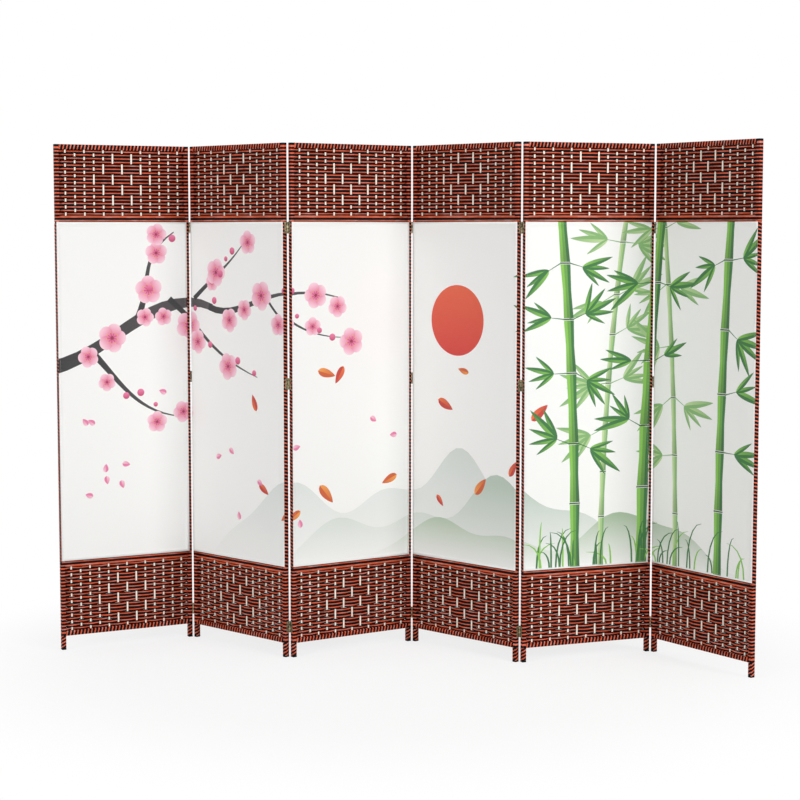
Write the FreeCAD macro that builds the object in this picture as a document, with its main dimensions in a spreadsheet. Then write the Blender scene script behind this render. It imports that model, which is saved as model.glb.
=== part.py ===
import FreeCAD
import Part
import Sketcher
import os
import re

# Six-panel folding screen: bound wooden frames with woven ends and a stretched cloth, joined by butt hinges.
# One panel is modelled in its own frame, X across it from the left edge, Y from its front face to its back
# and Z up from the floor, and every piece of it is then placed six times along the zigzag.

# Driving dimensions: alias, value in millimetres, degrees or a count, and what it is
DIMENSIONS = [
    ("panel_width", 500, "width of one panel over its binding"),
    ("panel_height", 1800, "height from the floor to the top rail"),
    ("panel_depth", 18, "depth of one panel over its binding"),
    ("stile_width", 16, "width of a bound stile"),
    ("leg_height", 50, "clear height under the bottom rail"),
    ("rope_wall", 2, "thickness of the rope binding on the wood"),
    ("bound_corner", 1.5, "chamfer along the outer corners of the binding"),
    ("foot_chamfer", 1.5, "chamfer round the foot of a stile"),
    ("rail_height", 18, "height of a bound top or bottom rail"),
    ("border_height", 22, "height of a bound middle rail"),
    ("row_count", 19, "courses in one woven section"),
    ("row_pitch", 12.2, "height of one course, a pair of strands"),
    ("strand_depth", 2.5, "thickness of the strands on each side of the slats"),
    ("slat_count", 13, "slats in one woven section"),
    ("slat_inset", 40, "panel edge to the middle of the first slat"),
    ("slat_width", 5.2, "width of a slat"),
    ("slat_depth", 2.5, "thickness of a slat"),
    ("window_width", 6.2, "width of a gap in the courses that shows a slat"),
    ("window_rows", 3, "courses that one long gap of the diamond spans"),
    ("window_first_row", 1, "courses between the rail and the diamond"),
    ("cloth_thickness", 0.8, "thickness of the lined cloth"),
    ("cloth_inset", 2.5, "panel edge to the edge of the cloth"),
    ("hinge_gap", 2.8, "gap between two stiles when the panels are in line"),
    ("hinge_offset", 1.5, "panel face to the hinge axis in front of it"),
    ("hinge_height", 40, "height of a hinge"),
    ("hinge_low", 107, "middle of the lowest hinge above the floor"),
    ("hinge_middle", 966, "middle of the middle hinge above the floor"),
    ("hinge_high", 1508, "middle of the highest hinge above the floor"),
    ("leaf_thickness", 1.2, "thickness of a hinge leaf"),
    ("leaf_width", 12, "width of a hinge leaf on the stile"),
    ("leaf_setback", 1.2, "panel face to the near edge of a leaf"),
    ("knuckle_radius", 2.4, "outer radius of a knuckle, over its corners"),
    ("knuckle_sides", 8, "flats round a knuckle"),
    ("knuckle_length", 12, "length of an end knuckle"),
    ("knuckle_gap", 0.3, "gap between two knuckles"),
    ("pin_radius", 1.25, "radius of a hinge pin"),
    ("pin_clearance", 0.05, "radial clearance of the turning knuckle on the pin"),
    ("turn_of_panel_1", 27.6, "direction of a panel, turned from straight across"),
    ("turn_of_panel_2", -44.0, "direction of a panel"),
    ("turn_of_panel_3", 33.4, "direction of a panel"),
    ("turn_of_panel_4", -44.4, "direction of a panel"),
    ("turn_of_panel_5", 21.3, "direction of a panel"),
    ("turn_of_panel_6", -55.3, "direction of a panel"),
]
PANELS = range(1, 7)
# Long gaps across the diamond, band by band: the count grows to the middle and shrinks again
DIAMOND_BANDS = (2, 3, 4, 3, 2)

doc = FreeCAD.newDocument("folding_screen")
sheet = doc.addObject("Spreadsheet::Sheet", "sizes")
for row, (alias, value, meaning) in enumerate(DIMENSIONS, 1):
    sheet.set(f"A{row}", meaning)
    sheet.set(f"B{row}", str(value))
    sheet.setAlias(f"B{row}", alias)
doc.recompute()


def size(alias):
    return float(sheet.get(alias))


def formula(text):
    """An expression on the sheet, written with bare aliases."""
    return re.sub(r"[a-z][a-z_]*", r"sizes.\g<0>", text)


def bind(piece, **formulas):
    """Bind a piece's properties, where x, y and z stand for its place."""
    for name, text in formulas.items():
        target = f"Placement.Base.{name}" if name in ("x", "y", "z") else name
        piece.setExpression(target, formula(text))
    return piece


def box(name, x, y, z, across, deep, high):
    piece = doc.addObject("Part::Box", name)
    return bind(piece, x=x, y=y, z=z, Length=across, Width=deep, Height=high)


def cylinder(name, z, radius, high):
    piece = doc.addObject("Part::Cylinder", name)
    return bind(piece, z=z, Radius=radius, Height=high)


def barrel(name, z, high):
    """A knuckle's outside, as a prism with few flats because the screen has many hinges."""
    piece = doc.addObject("Part::Prism", name)
    half_flat = FreeCAD.Rotation(FreeCAD.Vector(0, 0, 1), 180 / size("knuckle_sides"))
    piece.Placement = FreeCAD.Placement(FreeCAD.Vector(), half_flat)
    return bind(piece, z=z, Polygon="knuckle_sides", Circumradius="knuckle_radius", Height=high)


def join(name, pieces):
    piece = doc.addObject("Part::MultiFuse", name)
    piece.Shapes = pieces
    piece.Refine = True
    return piece


def group(name, pieces):
    piece = doc.addObject("Part::Compound", name)
    piece.Links = pieces
    return piece


def cut(name, base, tool):
    piece = doc.addObject("Part::Cut", name)
    piece.Base = base
    piece.Tool = tool
    return piece


def copy_at(original, name, turn, x, y, z):
    piece = doc.addObject("App::Link", name)
    piece.LinkedObject = original
    piece.Placement = FreeCAD.Placement(FreeCAD.Vector(), turn)
    return bind(piece, x=x, y=y, z=z)


def sketch_on(body, role, name):
    plane = next(item for item in body.Origin.OriginFeatures if item.Role == role)
    sketch = body.newObject("Sketcher::SketchObject", name)
    sketch.AttachmentSupport = [(plane, "")]
    sketch.MapMode = "FlatFace"
    return sketch


def draw_outline(sketch, corners):
    """Closed outline of straight lines whose corners are pairs of formulas on the sheet."""
    values = [[sheet.evalExpression(formula(text)) for text in corner] for corner in corners]
    points = [FreeCAD.Vector(*pair, 0) for pair in values]
    count = len(points)
    for index, start in enumerate(points):
        sketch.addGeometry(Part.LineSegment(start, points[(index + 1) % count]))
    for index, corner in enumerate(corners):
        before = (index - 1) % count
        sketch.addConstraint(Sketcher.Constraint("Coincident", before, 2, index, 1))
        for direction, text, value in zip(("DistanceX", "DistanceY"), corner, points[index]):
            number = sketch.addConstraint(Sketcher.Constraint(direction, -1, 1, index, 1, value))
            sketch.setExpression(f"Constraints[{number}]", formula(text))


def rectangle(low, high):
    return [low, (high[0], low[1]), high, (low[0], high[1])]


def pad(body, sketch, length):
    feature = body.newObject("PartDesign::Pad", sketch.Name + "_pad")
    feature.Profile = sketch
    feature.setExpression("Length", formula(length))
    doc.recompute()
    return feature


def binding_sleeve(name, role, low, high, start, length):
    """Rope binding round a straight piece of wood: a tube with eased outer corners and a square bore."""
    body = doc.addObject("PartDesign::Body", name)
    outer = sketch_on(body, role, name + "_outside")
    outer.setExpression("AttachmentOffset.Base.z", formula(start))
    draw_outline(outer, rectangle(low, high))
    solid = pad(body, outer, length)
    along = FreeCAD.Vector(0, 0, 1) if role == "XY_Plane" else FreeCAD.Vector(1, 0, 0)
    long_edges = [
        f"Edge{number}"
        for number, edge in enumerate(solid.Shape.Edges, 1)
        if abs(edge.tangentAt(edge.FirstParameter).dot(along)) > 0.99
    ]
    easing = body.newObject("PartDesign::Chamfer", name + "_corners")
    easing.Base = (solid, long_edges)
    easing.setExpression("Size", formula("bound_corner"))
    doc.recompute()
    inner_low = tuple(f"{text} + rope_wall" for text in low)
    inner_high = tuple(f"{text} - rope_wall" for text in high)
    inner = sketch_on(body, role, name + "_inside")
    inner.setExpression("AttachmentOffset.Base.z", formula(start))
    draw_outline(inner, rectangle(inner_low, inner_high))
    bore = body.newObject("PartDesign::Pocket", name + "_bore")
    bore.Profile = inner
    bore.Type = "ThroughAll"
    bore.Reversed = True
    doc.recompute()
    if bore.Shape.Volume > 0.6 * easing.Shape.Volume:
        raise RuntimeError(f"{name}: the bore cuts too little")
    return body


# Heights of the rails above the floor
TOP_RAIL = "panel_height - rail_height"
UPPER_BORDER = f"{TOP_RAIL} - row_count * row_pitch - border_height"
BOTTOM_RAIL = "leg_height"
LOWER_WEAVE = "leg_height + rail_height"
LOWER_BORDER = f"{LOWER_WEAVE} + row_count * row_pitch"
UPPER_WEAVE = f"{UPPER_BORDER} + border_height"
RAILS = [
    ("top_rail", TOP_RAIL, "rail_height"),
    ("upper_border_rail", UPPER_BORDER, "border_height"),
    ("lower_border_rail", LOWER_BORDER, "border_height"),
    ("bottom_rail", BOTTOM_RAIL, "rail_height"),
]


def wooden_stile(name, left_edge):
    body = doc.addObject("PartDesign::Body", name)
    outline = sketch_on(body, "XY_Plane", name + "_section")
    low = (f"{left_edge} + rope_wall", "rope_wall")
    high = (f"{left_edge} + stile_width - rope_wall", "panel_depth - rope_wall")
    draw_outline(outline, rectangle(low, high))
    solid = pad(body, outline, "panel_height")
    foot = next(
        f"Face{number}" for number, face in enumerate(solid.Shape.Faces, 1) if face.normalAt(0, 0).z < -0.99
    )
    chamfer = body.newObject("PartDesign::Chamfer", name + "_foot")
    chamfer.Base = (solid, [foot])
    chamfer.setExpression("Size", formula("foot_chamfer"))
    doc.recompute()
    return body


def wooden_rail(name, low, high):
    """A rail butts against the wood of both stiles, through their binding."""
    return box(
        name,
        "stile_width - rope_wall",
        "rope_wall",
        f"{low} + rope_wall",
        "panel_width - 2 * (stile_width - rope_wall)",
        "panel_depth - 2 * rope_wall",
        f"{high} - 2 * rope_wall",
    )


def stile_binding(name, left_edge, rails):
    high = (f"{left_edge} + stile_width", "panel_depth")
    sleeve = binding_sleeve(
        name + "_sleeve", "XY_Plane", (left_edge, "0"), high, "foot_chamfer", "panel_height - foot_chamfer"
    )
    return cut(name, sleeve, rails)


def rail_binding(name, low, high):
    return binding_sleeve(
        name,
        "YZ_Plane",
        ("0", low),
        ("panel_depth", f"{low} + {high}"),
        "stile_width",
        "panel_width - 2 * stile_width",
    )


SLAT_STEP = "(panel_width - 2 * slat_inset) / (slat_count - 1)"
SLAT_FRONT = "panel_depth / 2 - slat_depth / 2"


def slats(name, low):
    return [
        box(
            f"{name}_{index}",
            f"slat_inset + {index} * {SLAT_STEP} - slat_width / 2",
            SLAT_FRONT,
            low,
            "slat_width",
            "slat_depth",
            "row_count * row_pitch",
        )
        for index in range(int(size("slat_count")))
    ]


def strand_layer(name, low, front, bands, from_top):
    """One side of a woven section, with the long gaps of the diamond where the slats show."""
    across = "panel_width - 2 * stile_width"
    plate = box(name + "_plate", "stile_width", front, low, across, "strand_depth", "row_count * row_pitch")
    windows = []
    for band, count in enumerate(bands):
        rows_before = f"window_first_row + {band} * window_rows"
        if from_top:
            rows_before = f"row_count - window_rows - ({rows_before})"
        for index in range(count):
            middle = f"panel_width / 2 + {2 * index - count + 1} * {SLAT_STEP}"
            windows.append(
                box(
                    f"{name}_gap_{band}_{index}",
                    f"{middle} - window_width / 2",
                    front,
                    f"{low} + ({rows_before}) * row_pitch",
                    "window_width",
                    "strand_depth",
                    "window_rows * row_pitch",
                )
            )
    return cut(name, plate, group(name + "_gaps", windows))


def woven_section(name, low, from_top):
    """The courses pass in front of some slats and behind the others, so the back shows the slats between."""
    behind = [count - 1 for count in DIAMOND_BANDS]
    return [
        strand_layer(name + "_front", low, f"{SLAT_FRONT} - strand_depth", DIAMOND_BANDS, from_top),
        strand_layer(name + "_back", low, f"{SLAT_FRONT} + slat_depth", behind, from_top),
    ]


def cloth():
    return box(
        "cloth",
        "cloth_inset",
        "-cloth_thickness",
        f"{LOWER_BORDER} + border_height",
        "panel_width - 2 * cloth_inset",
        "cloth_thickness",
        f"{UPPER_BORDER} - ({LOWER_BORDER} + border_height)",
    )


MIDDLE_KNUCKLE = "hinge_height - 2 * knuckle_length - 2 * knuckle_gap"


def hinge_leaf(name, plate_x, spans):
    """A leaf about its own hinge axis: a plate on the stile's edge, rolled to a knuckle at each span."""
    reach = "hinge_offset + leaf_setback"
    plate_size = ("leaf_thickness", "leaf_width", "hinge_height")
    pieces = [box(name + "_plate", plate_x, reach, "-hinge_height / 2", *plate_size)]
    for index, (low, high) in enumerate(spans):
        pieces.append(box(f"{name}_tab_{index}", plate_x, "0", low, "leaf_thickness", reach, high))
        pieces.append(barrel(f"{name}_knuckle_{index}", low, high))
    return join(name, pieces)


# Wood, binding, weave and cloth of one panel
stile_places = {"left_stile": "0", "right_stile": "panel_width - stile_width"}
stiles = [wooden_stile(name, edge) for name, edge in stile_places.items()]
rails = [wooden_rail(*rail) for rail in RAILS]
rail_set = group("rail_set", rails)
binding = [stile_binding(name + "_binding", edge, rail_set) for name, edge in stile_places.items()]
binding += [rail_binding(name + "_binding", low, high) for name, low, high in RAILS]
upper_weave = woven_section("upper_weave", UPPER_WEAVE, True)
lower_weave = woven_section("lower_weave", LOWER_WEAVE, False)
weave_slats = slats("upper_slat", UPPER_WEAVE) + slats("lower_slat", LOWER_WEAVE)
fabric = [cloth()]

# Hinges: the left-hand panel's leaf has the two end knuckles, with the pin pressed into them, and the
# right-hand panel's leaf turns on the pin
END_SPANS = [
    ("-hinge_height / 2", "knuckle_length"),
    ("hinge_height / 2 - knuckle_length", "knuckle_length"),
]
MIDDLE_SPAN = [(f"-({MIDDLE_KNUCKLE}) / 2", MIDDLE_KNUCKLE)]
HINGE_HEIGHTS = ("hinge_low", "hinge_middle", "hinge_high")
UNTURNED = FreeCAD.Rotation()
# A fold that closes the backs has its hinges turned over, on the back of the panels
OVER = FreeCAD.Rotation(FreeCAD.Vector(1, 0, 0), 180)
pin = cylinder("pin", "0", "pin_radius", "hinge_height")
pin_hole = cylinder("pin_hole", "-hinge_height / 2", "pin_radius + pin_clearance", "hinge_height")
left_leaf = hinge_leaf("left_leaf", "-hinge_gap / 2", END_SPANS)
right_blank = hinge_leaf("right_blank", "hinge_gap / 2 - leaf_thickness", MIDDLE_SPAN)
right_leaf = cut("right_leaf", right_blank, pin_hole)


def hinge_side(name, edge_right, closes_fronts):
    """Leaves and pins along one edge of a panel."""
    axis_x = "panel_width + hinge_gap / 2" if edge_right else "-hinge_gap / 2"
    axis_y = "-hinge_offset" if closes_fronts else "panel_depth + hinge_offset"
    turn = UNTURNED if closes_fronts else OVER
    leaf = left_leaf if edge_right else right_leaf
    places = [(axis_x, axis_y, level) for level in HINGE_HEIGHTS]
    leaves = [copy_at(leaf, f"{name}_leaf", turn, *place) for place in places]
    feet = [(axis_x, axis_y, f"{level} - hinge_height / 2") for level in HINGE_HEIGHTS if edge_right]
    pins = [copy_at(pin, f"{name}_pin", UNTURNED, *foot) for foot in feet]
    return leaves, pins


SIDES = {
    (edge_right, closes_fronts): hinge_side(f"{edge}_{face}", edge_right, closes_fronts)
    for edge, edge_right in (("right", True), ("left", False))
    for face, closes_fronts in (("front", True), ("back", False))
}


def fold_axis(number, edge_right):
    """Hinge axis of a panel's edge in the panel's own frame: odd folds close the fronts, even the backs."""
    fold = number if edge_right else number - 1
    x = size("panel_width") + size("hinge_gap") / 2 if edge_right else -size("hinge_gap") / 2
    y = -size("hinge_offset") if fold % 2 else size("panel_depth") + size("hinge_offset")
    return FreeCAD.Vector(x, y, 0)


def zigzag():
    """Places of the panels, each hung on the hinge axis of the one to its left."""
    places = {}
    for number in PANELS:
        turn = FreeCAD.Rotation(FreeCAD.Vector(0, 0, 1), size(f"turn_of_panel_{number}"))
        start = FreeCAD.Vector()
        if number > 1:
            axis = places[number - 1].multVec(fold_axis(number - 1, True))
            start = axis - turn.multVec(fold_axis(number, False))
        places[number] = FreeCAD.Placement(start, turn)
    return places


# Every panel's pieces, placed along the zigzag
places = zigzag()
nodes = {}
for number in PANELS:
    pieces = {
        "left_stile": stiles[:1],
        "right_stile": stiles[1:],
        "rails": rails,
        "binding": binding,
        "upper_weave": upper_weave,
        "lower_weave": lower_weave,
        "weave_slats": weave_slats,
        "fabric": fabric,
        "hinge_leaves": [],
    }
    for edge_right in (True, False):
        fold = number if edge_right else number - 1
        if 1 <= fold < len(PANELS):
            leaves, pins = SIDES[edge_right, fold % 2 == 1]
            pieces["hinge_leaves"] = pieces["hinge_leaves"] + leaves
            if edge_right:
                nodes[f"hinge_pins_{fold}_{fold + 1}"] = (number, pins)
    for name, members in pieces.items():
        nodes[f"panel_{number}_{name}"] = (number, members)

placed = {}
for name, (number, members) in nodes.items():
    placed[name] = group("node_" + name, members)
    placed[name].Label = name
    placed[name].Placement = places[number]
doc.recompute()

# The origin is on the floor at the middle of the whole screen
whole = FreeCAD.BoundBox()
for piece in placed.values():
    whole.add(piece.Shape.optimalBoundingBox(False, False))
centre = FreeCAD.Vector(whole.Center.x, whole.Center.y, 0)
for name, (number, members) in nodes.items():
    placed[name].Placement = FreeCAD.Placement(places[number].Base - centre, places[number].Rotation)
doc.recompute()

for item in doc.Objects:
    if "Invalid" in item.State or "Error" in item.State:
        raise RuntimeError(f"{item.Label} failed: {item.State}")
for name, piece in placed.items():
    if piece.Shape.isNull() or not piece.Shape.isValid():
        raise RuntimeError(f"{name} has no valid shape")

os.makedirs("parts", exist_ok=True)
for name, piece in placed.items():
    piece.Shape.exportStep(os.path.join("parts", piece.Label + ".step"))
print(f"size {whole.XLength:.2f} {whole.YLength:.2f} {whole.ZLength:.2f}")
for number in PANELS:
    base = placed[f"panel_{number}_left_stile"].Placement.Base
    print(f"panel {number} at {base.x:.4f} {base.y:.4f}")
for number in list(PANELS)[:-1]:
    axis = placed[f"panel_{number}_left_stile"].Placement.multVec(fold_axis(number, True))
    print(f"fold {number} axis {axis.x:.4f} {axis.y:.4f}")
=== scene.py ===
"""Looks of a six-panel folding screen: rope-bound frames, woven ends, printed cloths and brass hinges.

Every piece is modelled in its panel's own frame, in metres, with X across the panel from its left edge,
Y from its front to its back and Z up from the floor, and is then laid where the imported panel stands.
"""

import math
import random

import bmesh
import bpy
import numpy as np
from bpy.props import FloatProperty, FloatVectorProperty, IntProperty, PointerProperty
from mathutils import Color, Matrix, Vector, noise
from mathutils.geometry import delaunay_2d_cdt, interpolate_bezier


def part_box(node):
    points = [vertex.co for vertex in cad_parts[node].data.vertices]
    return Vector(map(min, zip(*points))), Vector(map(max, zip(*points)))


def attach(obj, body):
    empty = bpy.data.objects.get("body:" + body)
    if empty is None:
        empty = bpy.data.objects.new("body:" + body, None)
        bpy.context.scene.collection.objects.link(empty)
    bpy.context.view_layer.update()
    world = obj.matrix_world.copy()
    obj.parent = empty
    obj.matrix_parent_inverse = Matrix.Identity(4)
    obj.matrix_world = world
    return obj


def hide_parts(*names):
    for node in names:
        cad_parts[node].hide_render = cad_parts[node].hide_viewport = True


bl_info = {
    "name": "Fabric folding screen",
    "version": (1, 0, 0),
    "blender": (4, 5, 0),
    "location": "View3D > Sidebar > Screen",
    "description": "Dresses the packed frame of a folding screen",
    "category": "Object",
}

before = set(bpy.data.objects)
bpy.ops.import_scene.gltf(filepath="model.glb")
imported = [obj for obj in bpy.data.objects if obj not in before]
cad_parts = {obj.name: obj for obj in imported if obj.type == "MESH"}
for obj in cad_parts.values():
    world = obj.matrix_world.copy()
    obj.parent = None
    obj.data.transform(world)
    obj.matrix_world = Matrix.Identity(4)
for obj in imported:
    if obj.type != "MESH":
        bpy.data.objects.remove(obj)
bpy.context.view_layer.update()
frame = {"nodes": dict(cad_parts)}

MM = 0.001
PANELS = range(1, 7)
STILES = ("left_stile", "right_stile")
STILE_WIDTH = 16 * MM
PANEL_DEPTH = 18 * MM
MID_DEPTH = PANEL_DEPTH / 2
ROPE_WALL = 2 * MM
HALF_ROPE = ROPE_WALL / 2


def stile_middle(panel, side):
    low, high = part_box(f"panel_{panel}_{side}")
    return (low + high) / 2


def node_heights(node):
    """Lowest and highest level of a node."""
    low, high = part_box(node)
    return low.z, high.z


PANEL_WIDTH = (stile_middle(1, STILES[1]) - stile_middle(1, STILES[0])).length + STILE_WIDTH
PANEL_HEIGHT = node_heights("panel_1_left_stile")[1]
LOWER_WEAVE = node_heights("panel_1_lower_weave")
UPPER_WEAVE = node_heights("panel_1_upper_weave")
CLOTH_LEVELS = node_heights("panel_1_fabric")
LEG_TOP = node_heights("panel_1_rails")[0] - ROPE_WALL
LOWER_BORDER = (LOWER_WEAVE[1], CLOTH_LEVELS[0])
UPPER_BORDER = (CLOTH_LEVELS[1], UPPER_WEAVE[0])


def panel_place(panel):
    """Matrix from a panel's own frame to the screen's."""
    left, right = (stile_middle(panel, side) for side in STILES)
    across = (right - left).normalized()
    up = Vector((0, 0, 1))
    back = up.cross(across)
    corner = left - across * STILE_WIDTH / 2 - back * MID_DEPTH
    place = Matrix((across, back, up)).transposed().to_4x4()
    place.translation = (corner.x, corner.y, 0)
    return place


def shade(red, green, blue):
    """Linear colour of a shade given as 0 to 255."""
    return Color((red / 255, green / 255, blue / 255)).from_srgb_to_scene_linear()[:]


def colour_property(title, note, default):
    return FloatVectorProperty(name=title, description=note, default=default, subtype="COLOR", min=0, max=1)


def length_property(title, note, default):
    return FloatProperty(name=title, description=note, default=default, unit="LENGTH", precision=4)


class RopeSettings(bpy.types.PropertyGroup):
    red: colour_property("Red rope", "Colour of the red paper rope", shade(226, 94, 56))
    black: colour_property("Black rope", "Colour of the black paper rope", shade(8, 17, 22))
    red_width: length_property("Red strand", "Height of a red strand in a woven row", 4.4 * MM)
    strand_depth: length_property("Strand depth", "Thickness of a woven strand", 2.4 * MM)
    winding_lead: length_property("Winding lead", "Rise of one turn of rope on a stile", 12.2 * MM)
    leg_lead: length_property("Leg lead", "Rise of one turn of the slanted rope on a leg", 25 * MM)
    rail_turns: IntProperty(name="Rail turns", description="Turns of rope round a rail", default=36, min=1)
    unevenness: length_property("Unevenness", "How far a strand strays from its row", 0.2 * MM)


class WoodSettings(bpy.types.PropertyGroup):
    slat: colour_property("Slats", "Colour of the woven-in slats", shade(254, 250, 236))
    frame: colour_property("Frame", "Colour of the wood under the rope", shade(148, 104, 66))


class ClothSettings(bpy.types.PropertyGroup):
    ground: colour_property("Cloth", "Colour of the bare cloth", shade(248, 248, 246))
    hem: length_property("Hem", "Width of the folded hem", 9 * MM)
    stitch: length_property("Stitch", "Length of one stitch", 3.2 * MM)
    thickness: length_property("Thickness", "Thickness of the cloth", 0.45 * MM)
    mesh_step: length_property("Mesh step", "Distance between points of the cloth", 16 * MM)


class HingeSettings(bpy.types.PropertyGroup):
    brass: colour_property("Brass", "Colour of the hinge leaves", shade(198, 188, 158))
    steel: colour_property("Steel", "Colour of pins and screws", shade(176, 176, 172))
    knuckle: length_property("Knuckle", "Outer radius of a knuckle", 2.4 * MM)
    leaf_width: length_property("Leaf width", "Width of a leaf on the stile", 12 * MM)
    leaf_thickness: length_property("Leaf thickness", "Thickness of a leaf", 1.2 * MM)
    screw: length_property("Screw", "Radius of a screw head", 2.1 * MM)


class StageSettings(bpy.types.PropertyGroup):
    floor: colour_property("Floor", "Colour of the floor as seen", shade(246, 246, 246))
    bounce: colour_property("Bounce", "Colour of the light that the floor throws back", shade(205, 205, 205))
    key: FloatProperty(name="Key", description="Power of the main lamp", default=240, unit="POWER")
    fill: FloatProperty(name="Fill", description="Power of the second lamp", default=130, unit="POWER")
    ambient: FloatProperty(name="Ambient", description="Strength of the light all round", default=0.46)


SETTINGS = {
    "screen_rope": RopeSettings,
    "screen_wood": WoodSettings,
    "screen_cloth": ClothSettings,
    "screen_hinges": HingeSettings,
    "screen_stage": StageSettings,
}


class Signal:
    """A node's output, with arithmetic that adds Math nodes."""

    def __init__(self, finish, socket):
        self.finish = finish
        self.socket = socket

    def reckon(self, operation, first, second):
        return self.finish.add("ShaderNodeMath", {"operation": operation}, {0: first, 1: second})

    def __add__(self, other):
        return self.reckon("ADD", self, other)

    def __sub__(self, other):
        return self.reckon("SUBTRACT", self, other)

    def __rsub__(self, other):
        return self.reckon("SUBTRACT", other, self)

    def __mul__(self, other):
        return self.reckon("MULTIPLY", self, other)

    def maximum(self, other):
        return self.reckon("MAXIMUM", self, other)

    __radd__ = __add__
    __rmul__ = __mul__


class Finish:
    """A material or world whose nodes are added one by one."""

    def __init__(self, block):
        self.block = block
        block.use_nodes = True
        self.tree = block.node_tree

    def add(self, kind, settings=None, inputs=None, output=0):
        """One of the outputs of a new node, which gets its settings and then its values and links."""
        node = self.tree.nodes.new(kind)
        for name, value in (settings or {}).items():
            if name == "stops":
                self.set_stops(node.color_ramp, value)
            else:
                setattr(node, name, value)
        self.feed(node, inputs or {})
        return Signal(self, node.outputs[output])

    def feed(self, node, inputs):
        for key, value in inputs.items():
            socket = node.inputs[key]
            if isinstance(value, Signal):
                self.tree.links.new(value.socket, socket)
            else:
                socket.default_value = (*value, 1) if socket.type == "RGBA" else value

    @staticmethod
    def set_stops(ramp, stops):
        while len(ramp.elements) < len(stops):
            ramp.elements.new(1)
        for element, (position, grey) in zip(ramp.elements, stops):
            element.position = position
            element.color = (grey, grey, grey, 1)

    def surface(self, inputs):
        self.feed(self.tree.nodes["Principled BSDF"], inputs)
        return self.block

    def mix(self, factor, first, second):
        inputs = {0: factor, 6: first, 7: second}
        return self.add("ShaderNodeMix", {"data_type": "RGBA"}, inputs, output=2)

    def coordinates(self, name):
        return self.add("ShaderNodeTexCoord", output=name)

    def stretch(self, coordinates, scale, turn=0.0):
        return self.add("ShaderNodeMapping", inputs={0: coordinates, 2: (0, 0, turn), 3: scale})

    def noise(self, coordinates, scale, detail):
        """Noise with so many features to the metre along each axis."""
        inputs = {"Vector": self.stretch(coordinates, scale), "Scale": 1.0, "Detail": detail}
        return self.add("ShaderNodeTexNoise", inputs=inputs)

    def grades(self, value, *stops):
        return self.add("ShaderNodeValToRGB", {"stops": stops}, {0: value})

    def bump(self, height, strength, distance):
        inputs = {"Height": height, "Strength": strength, "Distance": distance}
        return self.add("ShaderNodeBump", inputs=inputs)


def new_finish(name):
    return Finish(bpy.data.materials.new(name))


def tinted(colour, factor):
    return tuple(min(1.0, channel * factor) for channel in colour)


# Way round a strand, slant of the creases in its twisted paper, range of its dye, and lift where it is rubbed
# paler and where a pinkish highlight is painted on
STRAND_GIRTH = 14 * MM
TWIST = math.radians(14)
DARKEST_DYE = 0.66
PALEST_DYE = 1.24
RUBBED_AND_HIGHLIGHT_LIFT = 0.45


def faded_and_highlit(colour):
    """A colour rubbed paler and lit by a painted pinkish highlight, by a share of its strongest channel."""
    lift = RUBBED_AND_HIGHLIGHT_LIFT * max(colour)
    return tuple(min(1.0, channel + lift) for channel in colour)


def rope_finish(name, colour, roughness, shine):
    """Twisted paper rope: creases that run slantwise along the strand, a soft shine, uneven dye, and pale
    patches that are partly rubbed wear and partly a painted pinkish highlight.
    """
    finish = new_finish(name)
    along = finish.stretch(finish.coordinates("UV"), (1, STRAND_GIRTH, 1), TWIST)
    creases = finish.noise(along, (70, 1300, 1), 3)
    fine = finish.noise(along, (260, 3600, 1), 2)
    spot = finish.coordinates("Object")
    dye = finish.noise(spot, (11, 11, 95), 2)
    wear_and_highlight = finish.noise(spot, (24, 24, 70), 3)
    tone = finish.grades(creases * 0.35 + dye * 0.65, (0.36, 0), (0.64, 1))
    dyed = finish.mix(tone, tinted(colour, DARKEST_DYE), tinted(colour, PALEST_DYE))
    # Pale patches on the strands: partly rubbed wear, partly a painted pinkish highlight
    worn = finish.grades(wear_and_highlight, (0.48, 0), (0.7, 0.42))
    inputs = {
        "Base Color": finish.mix(worn, dyed, faded_and_highlit(colour)),
        "Roughness": creases * 0.22 + roughness,
        "Specular IOR Level": shine,
        "Normal": finish.bump(creases + fine * 0.5, 0.5, 0.3 * MM),
    }
    return finish.surface(inputs)


def wood_finish(name, colour, grain, darkest):
    """Sawn wood with its grain upright or, for a rail, along it."""
    finish = new_finish(name)
    spot = finish.coordinates("Object")
    rings = finish.noise(spot, grain, 4)
    pores = finish.noise(spot, tuple(step * 5 for step in grain), 2)
    tone = finish.grades(rings * 0.8 + pores * 0.2, (0.3, 0), (0.7, 1))
    inputs = {
        "Base Color": finish.mix(tone, tinted(colour, darkest), tinted(colour, 1.06)),
        "Roughness": rings * 0.2 + 0.45,
        "Normal": finish.bump(rings + pores * 0.6, 0.3, 0.2 * MM),
    }
    return finish.surface(inputs)


def cloth_finish(name, ground, ink):
    """Plain-woven cloth that shows its print at a given strength."""
    finish = new_finish(name)
    thread = finish.stretch(finish.coordinates("UV"), (1 / MM, 1 / MM, 1))
    threads = {"Vector": thread, "Scale": 0.42, "Distortion": 0.6}
    warp, weft = (finish.add("ShaderNodeTexWave", {"bands_direction": way}, threads, 1) for way in "XY")
    weave = warp * 0.5 + weft * 0.5
    slub = finish.noise(finish.coordinates("UV"), (40, 320, 1), 2)
    paint = finish.add("ShaderNodeVertexColor", {"layer_name": "print"})
    shown = finish.mix(ink, ground, paint)
    inputs = {
        "Base Color": finish.mix(weave * 0.05 + slub * 0.06, shown, tinted(ground, 0.6)),
        "Roughness": 0.82 - weave * 0.1,
        "Sheen Weight": 0.15,
        "Normal": finish.bump(weave + slub * 0.6, 0.25, 0.15 * MM),
    }
    return finish.surface(inputs)


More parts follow.
